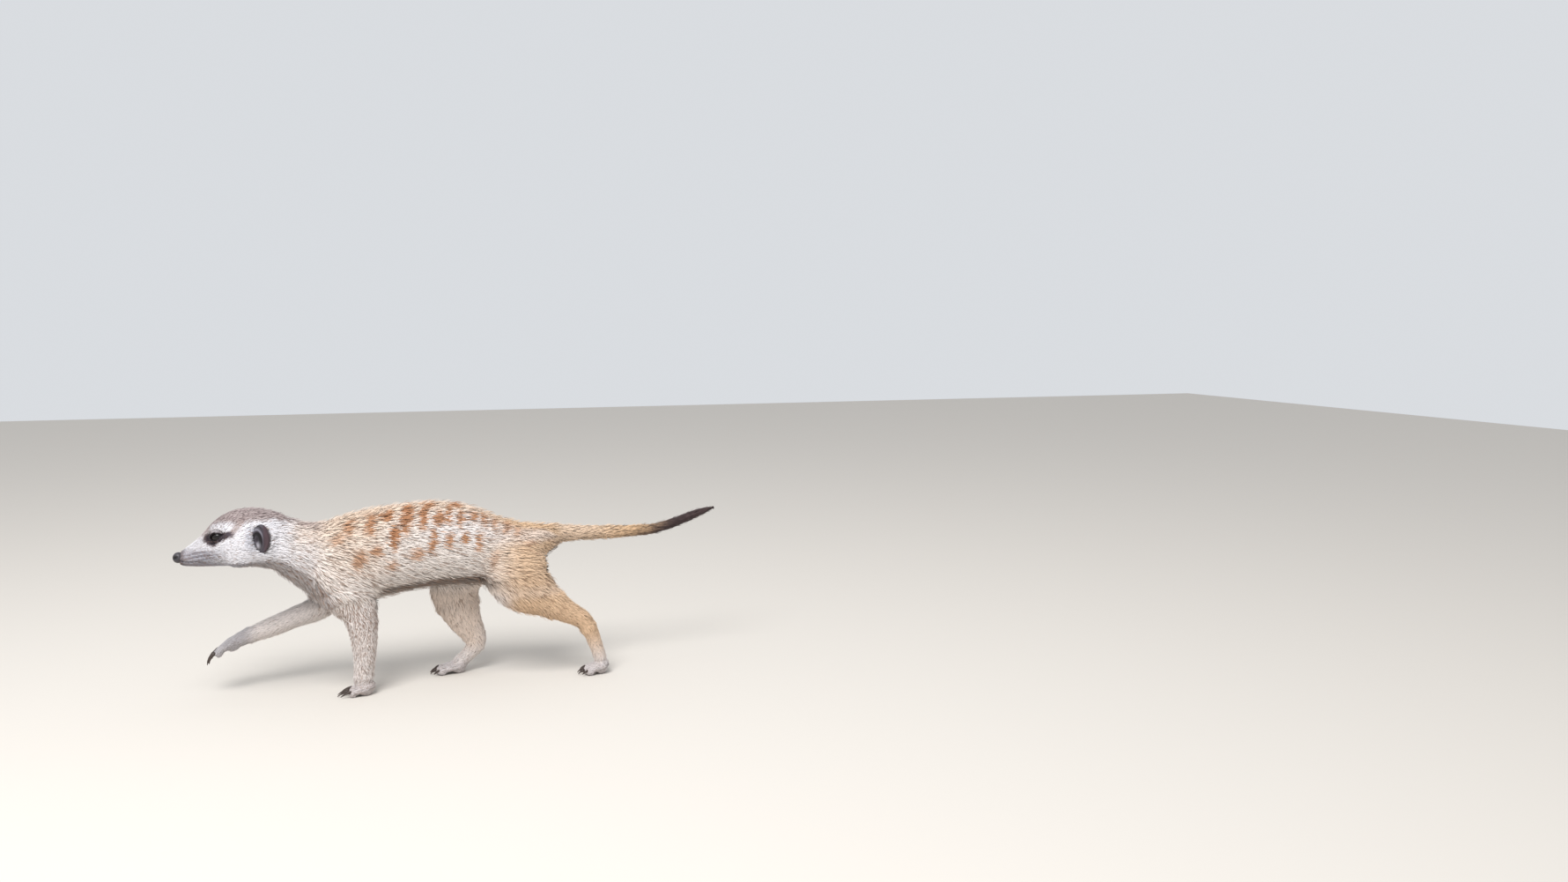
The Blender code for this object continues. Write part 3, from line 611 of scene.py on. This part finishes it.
def hide_material():
    """Short-haired skin: painted colour, fine streaks, and a pebbled surface."""
    made = bpy.data.materials.new("hide")
    made.use_nodes = True
    tree = made.node_tree
    shader = tree.nodes["Principled BSDF"]
    shader.inputs["Roughness"].default_value = 0.72
    shader.inputs["Specular IOR Level"].default_value = 0.25
    painted = tree.nodes.new("ShaderNodeVertexColor")
    painted.layer_name = "hair_colour"
    where = tree.nodes.new("ShaderNodeTexCoord")
    grain = tree.nodes.new("ShaderNodeTexNoise")
    grain.inputs["Scale"].default_value = 900.0
    grain.inputs["Detail"].default_value = 3.0
    spread = tree.nodes.new("ShaderNodeMapRange")
    spread.inputs["To Min"].default_value = 0.72
    spread.inputs["To Max"].default_value = 1.22
    shade = tree.nodes.new("ShaderNodeVectorMath")
    shade.operation = "SCALE"
    bump = tree.nodes.new("ShaderNodeBump")
    bump.inputs["Strength"].default_value = 0.45
    bump.inputs["Distance"].default_value = 0.0004
    tree.links.new(where.outputs["Object"], grain.inputs["Vector"])
    tree.links.new(grain.outputs["Fac"], spread.inputs["Value"])
    tree.links.new(painted.outputs["Color"], shade.inputs[0])
    tree.links.new(spread.outputs["Result"], shade.inputs["Scale"])
    tree.links.new(shade.outputs["Vector"], shader.inputs["Base Color"])
    tree.links.new(grain.outputs["Fac"], bump.inputs["Height"])
    tree.links.new(bump.outputs["Normal"], shader.inputs["Normal"])
    return made


paint(hide.data, "hair_colour", skin_colour)
hide.data.materials.append(hide_material())
hide.data.polygons.foreach_set("use_smooth", np.ones(len(hide.data.polygons), bool))
hide.data.update()

# ---- Coat ----
# Guard hairs in pointed locks, rooted in the hide and overlapping along the lie of the hair. They
# stay short on face and feet and shaggier on neck, shoulder and rump. Darker locks tick the coat.

PIECES = {  # each part of the coat: the regions it grows on, and its bounds along X in mm
    "face_coat": (("head",), (-300, -186)),
    "crown_coat": (("head",), (-186, 0)),
    "neck_coat": (("neck",), (-300, 300)),
    "shoulder_coat": (("trunk",), (-300, -70)),
    "flank_coat": (("trunk",), (-70, -8)),
    "rump_coat": (("trunk",), (-8, 300)),
    "tail_coat": (("tail_base", "tail_middle", "tail_tip"), (-300, 300)),
    "left_foreleg_coat": (("left_elbow", "left_foreleg", "left_forefoot"), (-300, 300)),
    "right_foreleg_coat": (("right_elbow", "right_foreleg", "right_forefoot"), (-300, 300)),
    "left_hindleg_coat": (("left_thigh", "left_shank", "left_hind_foot"), (-300, 300)),
    "right_hindleg_coat": (("right_thigh", "right_shank", "right_hind_foot"), (-300, 300)),
}
MOST_TUFTS = 16000  # in one piece
FINE = ("face_coat",)  # locks with one ring of points, not two
PATCH = 0.003  # width of a lock's place on the OFBake map
ROOT_DEPTH = 0.35  # mm under the hide
SWEEP, JITTER = 0.09, 0.11  # radians, how far locks turn from their lie, together and one by one
STRAY = 0.8  # lock widths that a lock takes its colour from beside its own place
PROUD_SHARE = 0.92  # locks drawn above this stand out over the rest
ROOT_SHADE = 0.62  # how dark the hair is at its root
SOLE = 0.25  # mm, the lowest that a hair reaches over the floor

random = np.random.default_rng(7)
hide_faces = np.empty(len(hide.data.polygons) * 3, np.int32)
hide.data.polygons.foreach_get("vertices", hide_faces)
hide_faces = hide_faces.reshape(-1, 3)
points, pairs = places(hide.data), edges(hide.data)
hide_normals = normals(hide.data)
hide_tree = BVHTree.FromPolygons([Vector(p) for p in points], hide_faces.tolist())
coat = relaxed(coat_values(points), pairs, 8)
bald = relaxed(shut[:, None].astype(float), pairs, 1)[:, 0]
centres = points[hide_faces].mean(axis=1)
face_region = nearest_node(centres)


def hair_material():
    made = bpy.data.materials.new("fur")
    made.use_nodes = True
    tree = made.node_tree
    shader = tree.nodes["Principled BSDF"]
    shader.inputs["Roughness"].default_value = 0.6
    shader.inputs["Specular IOR Level"].default_value = 0.22
    shader.inputs["Sheen Weight"].default_value = 0.12
    shader.inputs["Sheen Roughness"].default_value = 0.5
    painted = tree.nodes.new("ShaderNodeVertexColor")
    painted.layer_name = "hair_colour"
    tree.links.new(painted.outputs["Color"], shader.inputs["Base Color"])
    return made


fur = hair_material()


def unwrapped(faces):
    """The unwrap of one part of the hide: a place on the map for each corner of its faces."""
    used, index = np.unique(faces, return_inverse=True)
    mesh = bpy.data.meshes.new("unwrap")
    mesh.from_pydata((points[used] * MM).tolist(), [], index.reshape(-1, 3).tolist())
    helper = bpy.data.objects.new("unwrap", mesh)
    scene.collection.objects.link(helper)
    edit_faces(helper, np.ones(len(faces), bool))
    bpy.ops.uv.smart_project(angle_limit=math.radians(66), island_margin=0.002)
    bpy.ops.object.mode_set(mode="OBJECT")
    found = np.empty(len(mesh.loops) * 2, np.float32)
    mesh.uv_layers.active.data.foreach_get("uv", found)
    bpy.data.objects.remove(helper)
    return found.reshape(-1, 3, 2)


def on_hide(targets):
    """The nearest places on the hide, and its outward directions there."""
    found = [hide_tree.find_nearest(Vector(p))[:2] for p in targets]
    return np.array([f[0] for f in found]), np.array([f[1] for f in found])


def locks(name, chosen):
    """One piece of the coat over the chosen faces of the hide."""
    faces = hide_faces[chosen]
    corner = points[faces]
    area = np.linalg.norm(np.cross(corner[:, 1] - corner[:, 0], corner[:, 2] - corner[:, 0]), axis=1) / 2
    wanted = area * coat[faces, 3].mean(axis=1) * (1 - bald[faces].mean(axis=1)) ** 2
    wanted[bald[faces].max(axis=1) > 0.7] = 0
    running = np.cumsum(wanted)
    count = min(int(running[-1]), MOST_TUFTS)
    at = (np.arange(count) + random.random(count)) / count * running[-1]
    face = np.minimum(np.searchsorted(running, at), len(faces) - 1)
    a, b = random.random((2, count))
    a, b = np.where(a + b > 1, 1 - a, a), np.where(a + b > 1, 1 - b, b)
    shares = np.stack([1 - a - b, a, b], axis=1)

    def mixed(values):
        return (values[faces[face]] * shares[:, :, None]).sum(axis=1)

    root, outward, values = mixed(points), unit(mixed(hide_normals)), mixed(coat)
    uv = (unwrapped(faces)[face] * shares[:, :, None]).sum(axis=1)
    deep, long, wide = values[:, 0], values[:, 1], values[:, 2]
    long = long * (0.75 + 0.5 * random.random(count))
    wide = wide * (0.8 + 0.4 * random.random(count))
    lift = deep * (
        0.60 + 0.5 * random.random(count) + 0.6 * (random.random(count) > PROUD_SHARE)
    )
    along = unit(values[:, 4:] - outward * (values[:, 4:] * outward).sum(axis=1)[:, None])
    turn = SWEEP * ripple(root, 12.0, 2.2) + JITTER * random.standard_normal(count)
    along = along * np.cos(turn)[:, None] + np.cross(outward, along) * np.sin(turn)[:, None]

    stations = (0.45, 1.0) if name in FINE else (0.3, 0.66, 1.0)
    path = [root - outward * ROOT_DEPTH]
    directions = [outward]
    for t in stations:
        spot, normal = on_hide(root + along * (long * t)[:, None])
        spot = spot + normal * (lift * (1 - (1 - t) ** 2))[:, None]
        spot[:, 2] = np.maximum(spot[:, 2], SOLE)
        path.append(spot)
        directions.append(normal)

    # A lock's points: its root, triangular rings, and its tip.
    parts, shade, bend, steps = [path[0]], [0.0], [outward], [(0.0, 0.0)]
    for ring, t in enumerate(stations[:-1], 1):
        across = unit(np.cross(directions[ring], path[ring + 1] - path[ring - 1]))
        half = (wide * (0.5 if ring == 1 else 0.40))[:, None]
        for offset, rise in ((-1, 0), (1, 0), (0, 0.75)):
            parts.append(path[ring] + across * half * offset + directions[ring] * half * rise)
            shade.append(t)
            bend.append(unit(directions[ring] + 0.55 * across * offset))
            steps.append((offset, t))
    parts.append(path[-1])
    shade.append(1.0)
    bend.append(directions[-1])
    steps.append((0.0, 1.0))
    size = len(parts)
    made = np.stack(parts, axis=1)
    made[:, 1:, 2] = np.maximum(made[:, 1:, 2], SOLE / 2)

    one = [(0, 2, 1), (0, 3, 2), (0, 1, 3)]
    for low in range(1, size - 4, 3):
        for p, q in ((0, 1), (1, 2), (2, 0)):
            one += [(low + p, low + q, low + 3 + q), (low + p, low + 3 + q, low + 3 + p)]
    last = size - 4
    one += [(last, last + 1, size - 1), (last + 1, last + 2, size - 1), (last + 2, last, size - 1)]
    one = np.array(one)
    triples = made[:, one]
    middle = made.mean(axis=1, keepdims=True)
    local = triples - middle[:, None]
    volume = np.einsum("nfi,nfi->n", local[:, :, 0], np.cross(local[:, :, 1], local[:, :, 2]))
    turned = np.where((volume < 0)[:, None, None], one[None, :, ::-1], one[None])
    index = (turned + (np.arange(count) * size)[:, None, None]).reshape(-1, 3)

    mesh = bpy.data.meshes.new(name)
    mesh.vertices.add(count * size)
    mesh.vertices.foreach_set("co", (made * MM).astype(np.float32).ravel())
    mesh.loops.add(len(index) * 3)
    mesh.loops.foreach_set("vertex_index", index.astype(np.int32).ravel())
    mesh.polygons.add(len(index))
    mesh.polygons.foreach_set("loop_start", np.arange(0, len(index) * 3, 3, dtype=np.int32))
    mesh.polygons.foreach_set("use_smooth", np.ones(len(index), bool))
    mesh.update(calc_edges=True)

    stray = STRAY * wide[:, None] * random.standard_normal((count, 3))
    colour, ticked, tick = markings(root + along * (0.5 * long)[:, None] + stray)
    is_tick = (random.random(count) < ticked)[:, None]
    tone = (0.86 + 0.26 * random.random(count))[:, None]
    body = np.where(is_tick, 0.3 * colour + 0.7 * tick, colour) * tone
    rows = np.ones((count, size, 4), np.float32)
    for i, t in enumerate(shade):
        rows[:, i, :3] = np.clip(body * (ROOT_SHADE + (1 - ROOT_SHADE) * min(1.0, t * 1.6)), 0, 1)
    layer = mesh.color_attributes.new("hair_colour", "FLOAT_COLOR", "POINT")
    layer.data.foreach_set("color", rows.ravel())
    places_on_map = uv[:, None] + np.array(steps)[None] * PATCH / 2
    layer = mesh.uv_layers.new(name="OFBake")
    layer.data.foreach_set("uv", places_on_map.reshape(-1, 2)[index.ravel()].astype(np.float32).ravel())
    mesh.normals_split_custom_set_from_vertices(unit(np.stack(bend, axis=1)).reshape(-1, 3).tolist())
    piece = bpy.data.objects.new(name, mesh)
    scene.collection.objects.link(piece)
    mesh.materials.append(fur)
    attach(piece, "root")


for name, (grows_on, (start, end)) in PIECES.items():
    chosen = np.isin(face_region, [flesh_names.index(n) for n in grows_on])
    locks(name, chosen & (centres[:, 0] >= start) & (centres[:, 0] < end))

# ---- Eyes ----
# Dark brown glass eyes set deep in the lids, each in a rim of bare black skin.


def plain(name, colour, roughness, specular=0.5, coat_weight=0.0):
    made = bpy.data.materials.new(name)
    made.use_nodes = True
    shader = made.node_tree.nodes["Principled BSDF"]
    shader.inputs["Base Color"].default_value = (*colour, 1)
    shader.inputs["Roughness"].default_value = roughness
    shader.inputs["Specular IOR Level"].default_value = specular
    shader.inputs["Coat Weight"].default_value = coat_weight
    shader.inputs["Coat Roughness"].default_value = 0.03
    return made


def painted_material(name, roughness, specular):
    made = plain(name, (0.5, 0.5, 0.5), roughness, specular)
    tree = made.node_tree
    painted = tree.nodes.new("ShaderNodeVertexColor")
    painted.layer_name = "skin_colour"
    tree.links.new(painted.outputs["Color"], tree.nodes["Principled BSDF"].inputs["Base Color"])
    where = tree.nodes.new("ShaderNodeTexCoord")
    grain = tree.nodes.new("ShaderNodeTexNoise")
    grain.inputs["Scale"].default_value = 1600.0
    bump = tree.nodes.new("ShaderNodeBump")
    bump.inputs["Strength"].default_value = 0.5
    bump.inputs["Distance"].default_value = 0.00025
    tree.links.new(where.outputs["Object"], grain.inputs["Vector"])
    tree.links.new(grain.outputs["Fac"], bump.inputs["Height"])
    tree.links.new(bump.outputs["Normal"], tree.nodes["Principled BSDF"].inputs["Normal"])
    return made


def finish_piece(obj, shaped, material):
    """Places a primitive's points, smooths it, and turns its faces outward."""
    place(obj.data, shaped)
    edit_faces(obj, np.ones(len(obj.data.polygons), bool))
    bpy.ops.mesh.normals_make_consistent(inside=False)
    bpy.ops.object.mode_set(mode="OBJECT")
    bpy.ops.object.shade_smooth()
    obj.data.materials.append(material)
    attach(obj, "root")


eye_dark = plain("wet_eye", tint(18, 12, 10), 0.06, 0.4, 0.1)
rim_dark = plain("eyelid_rim", tint(20, 16, 18), 0.5, 0.3)
SEAT = 0.9  # mm that an eyeball lies under its CAD place
RIM = 0.5  # mm, thickness of the rim of the lids

for word in ("left", "right"):
    middle, gaze, back, up = eye_axes(word)
    bpy.ops.mesh.primitive_uv_sphere_add(segments=40, ring_count=24, radius=1)
    ball = bpy.context.object
    ball.name = f"{word}_eyeball"
    ball_points = middle - gaze * SEAT + places(ball.data) * MM * (EYE_RADIUS - 0.2)
    finish_piece(ball, ball_points, eye_dark)
    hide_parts(f"{word}_eye")

    bpy.ops.mesh.primitive_torus_add(
        major_segments=64, minor_segments=10, major_radius=1, minor_radius=0.25
    )
    rim = bpy.context.object
    rim.name = f"{word}_eyelid_rim"
    x, y, z = (places(rim.data) * MM).T
    theta = np.arctan2(y, x)
    out, thick = (np.hypot(x, y) - 1) / 0.25, z / 0.25
    rear, rise = np.cos(theta), np.sin(theta)
    height = OPENING[1] * (1 - np.abs(rear) ** 1.9 * 0.985) ** 0.72 * np.where(rise > 0, 1.08, 0.92)
    flat = np.stack([rear * OPENING[0], np.sign(rise) * height], axis=1)
    flat = flat + out[:, None] * RIM * np.stack([rear, rise], axis=1)
    reach = np.sqrt(np.maximum((EYE_RADIUS - 0.2) ** 2 - (flat**2).sum(axis=1), 0)) - SEAT
    ahead = reach + 0.35 + 0.5 * thick + 0.25 * np.maximum(out, 0)
    rim_points = middle + gaze * ahead[:, None] + back * flat[:, :1] + up * flat[:, 1:]
    finish_piece(rim, rim_points, rim_dark)

# ---- Nose pad ----
# Bare, pebbled, dark grey skin with two comma-shaped nostrils and a groove between them. Painted shade
# makes the nostrils near black and darkens the groove.

NOSTRIL_DEPTH, CLEFT_DEPTH = 1.5, 0.5  # mm
NOSE_SKIN = tint(62, 58, 62)
# Painted shade for the insides of the nostrils and the groove between them.
NOSTRIL_PAINTED_SHADE = tint(12, 10, 11)

bpy.ops.mesh.primitive_uv_sphere_add(segments=64, ring_count=40, radius=1)
pad = bpy.context.object
pad.name = "nose_pad"
unit_sphere = places(pad.data) * MM
low, high = (np.array(corner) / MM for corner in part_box("nose"))
shaped = middle_of("nose") + unit_sphere * (high - low) / 2
side = unit_sphere[:, 1]
front = ramp(unit_sphere[:, 0], 0.3, -0.3)
nostril = np.zeros(len(shaped))
for sign in (-1, 1):
    over = unit_sphere[:, 2] + 0.05 - 0.25 * np.abs(side)
    hole = ((side - sign * 0.76) / 0.28) ** 2 + (over / 0.26) ** 2
    nostril = np.maximum(nostril, np.exp(-hole) * front)
cleft = np.exp(-((side / 0.10) ** 2)) * front * ramp(unit_sphere[:, 2], 0.5, 0.1)
shaped -= unit_sphere * (NOSTRIL_DEPTH * nostril + CLEFT_DEPTH * cleft)[:, None]
pad_colour = np.tile(NOSE_SKIN, (len(shaped), 1))
# Painted shade: near black in the nostrils, darker in the groove between them.
pad_colour = blend(pad_colour, NOSTRIL_PAINTED_SHADE, 2.2 * nostril + 0.5 * cleft)
paint(pad.data, "skin_colour", pad_colour)
finish_piece(pad, shaped, painted_material("nose_skin", 0.45, 0.5))
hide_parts("nose")

# ---- Ears ----
# Low crescent ears flat on the sides of the head: nearly bare dark skin, folded in ridges round an
# opening, with a purplish-brown flap behind. Painted shade blackens the opening and the grooves between
# the ridges; a painted highlight lightens the ridge tops at the front.

EAR_BOWL, EAR_RIDGE, EAR_LOBE, EAR_RIM = 2.0, 0.55, 1.5, 0.9  # mm, depth of the hollow, heights of folds
EAR_SKIN = tint(70, 64, 72)
# Painted shade for the opening and the grooves, then a painted highlight for the ridge tops.
EAR_PAINTED_SHADE = tint(24, 20, 24)
EAR_PAINTED_HIGHLIGHT = tint(132, 130, 140)
EAR_LOBE_SKIN = tint(176, 172, 180)
EAR_PURPLE = tint(74, 58, 64)
ear_skin = painted_material("ear_skin", 0.6, 0.35)
for word, sign in (("left", -1), ("right", 1)):
    bpy.ops.mesh.primitive_uv_sphere_add(
        segments=96, ring_count=64, radius=1, rotation=(math.pi / 2, 0, 0)
    )
    ear = bpy.context.object
    ear.name = f"{word}_ear_flap"
    bpy.ops.object.transform_apply(location=False, rotation=True, scale=False)
    ball = places(ear.data) * MM
    low, high = (np.array(corner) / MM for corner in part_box(f"{word}_ear"))
    u, v = ball[:, 0], ball[:, 2]  # u to the rear, v up, both -1 to 1 over the ear
    outer = ramp(ball[:, 1] * sign, 0.0, 0.3)
    bowl = np.exp(-(((u + 0.22) / 0.42) ** 2 + ((v + 0.02) / 0.60) ** 2)) * outer
    curl = np.hypot((u + 0.45) / 0.9, v)
    ridge = np.cos(8.5 * curl + 2.2 * v - 1.0) * ramp(curl, 0.1, 0.3) * ramp(curl, 1.05, 0.85) * outer
    lobe = np.exp(-(((u + 0.30) / 0.22) ** 2 + ((v + 0.45) / 0.20) ** 2)) * outer
    flap = np.exp(-(((np.hypot(u, v * 0.95) - 0.86) / 0.13) ** 2)) * ramp(u, -0.1, 0.3) * outer
    shift = EAR_BOWL * bowl - EAR_RIDGE * ridge * (1 - 0.4 * bowl) - EAR_LOBE * lobe - EAR_RIM * flap
    shaped = middle_of(f"{word}_ear") + ball * (high - low) / 2
    shaped[:, 1] -= sign * shift
    colour = np.tile(EAR_SKIN, (len(shaped), 1))
    # Painted shade: the grooves between the ridges and the hollow of the opening are painted black.
    colour = blend(colour, EAR_PAINTED_SHADE, ramp(ridge, 0.1, -0.8) + 0.75 * bowl)
    # Painted highlight: the ridge tops at the front of the ear are painted pale.
    colour = blend(colour, EAR_PAINTED_HIGHLIGHT, 0.7 * ramp(ridge, 0.4, 1.0) * ramp(u, 0.4, 0.1))
    colour = blend(colour, EAR_LOBE_SKIN, 0.9 * lobe)
    colour = blend(colour, EAR_PURPLE, ramp(u, 0.2, 0.5))
    paint(ear.data, "skin_colour", colour)
    finish_piece(ear, shaped, ear_skin)
    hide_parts(f"{word}_ear")

# ---- Claws ----
# Long, dark horn claws, slightly polished, each set into its toe.

horn = plain("claw_horn", tint(66, 54, 48), 0.38, 0.45)
for node in sorted(n for n in nodes if "claw" in n):
    claw = solid_copy([node], f"{node}_horn")
    edit_faces(claw, np.ones(len(claw.data.polygons), bool))
    bpy.ops.mesh.normals_make_consistent(inside=False)
    bpy.ops.object.mode_set(mode="OBJECT")
    bpy.ops.object.shade_smooth_by_angle(angle=math.radians(50))
    claw.data.materials.append(horn)
    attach(claw, "root")
    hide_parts(node)

# ---- Floor, light and camera ----
# A plain pale floor under a soft bright sky, with one large soft lamp high in front.

bpy.ops.mesh.primitive_plane_add(size=6, location=(0, 0, 0))
floor = bpy.context.object
floor.name = "floor"
floor.data.materials.append(plain("floor", tint(214, 208, 200), 0.9, 0.2))

world = bpy.data.worlds.new("soft_sky")
world.use_nodes = True
world.node_tree.nodes["Background"].inputs["Color"].default_value = (0.93, 0.96, 1.0, 1)
world.node_tree.nodes["Background"].inputs["Strength"].default_value = 0.75
scene.world = world
bpy.ops.object.light_add(type="AREA", location=(-0.5, -0.9, 1.5))
lamp = bpy.context.object
lamp.data.size = 0.9
lamp.data.energy = 30.0
lamp.rotation_euler = (Vector((0, 0, 0.08)) - lamp.location).to_track_quat("-Z", "Y").to_euler()
scene.view_settings.view_transform = "Standard"

PAN, PITCH = math.radians(18), math.radians(6.08)  # to the rear, down
LENS, SENSOR = 26.676, 36  # mm
bpy.ops.object.camera_add(location=(-0.04603, -1.01569, 0.31))
camera = bpy.context.object
look = Vector((math.sin(PAN) * math.cos(PITCH), math.cos(PAN) * math.cos(PITCH), -math.sin(PITCH)))
camera.rotation_euler = look.to_track_quat("-Z", "Y").to_euler()
camera.data.sensor_width = SENSOR
camera.data.lens = LENS
camera.data.clip_start = 0.01
scene.camera = camera
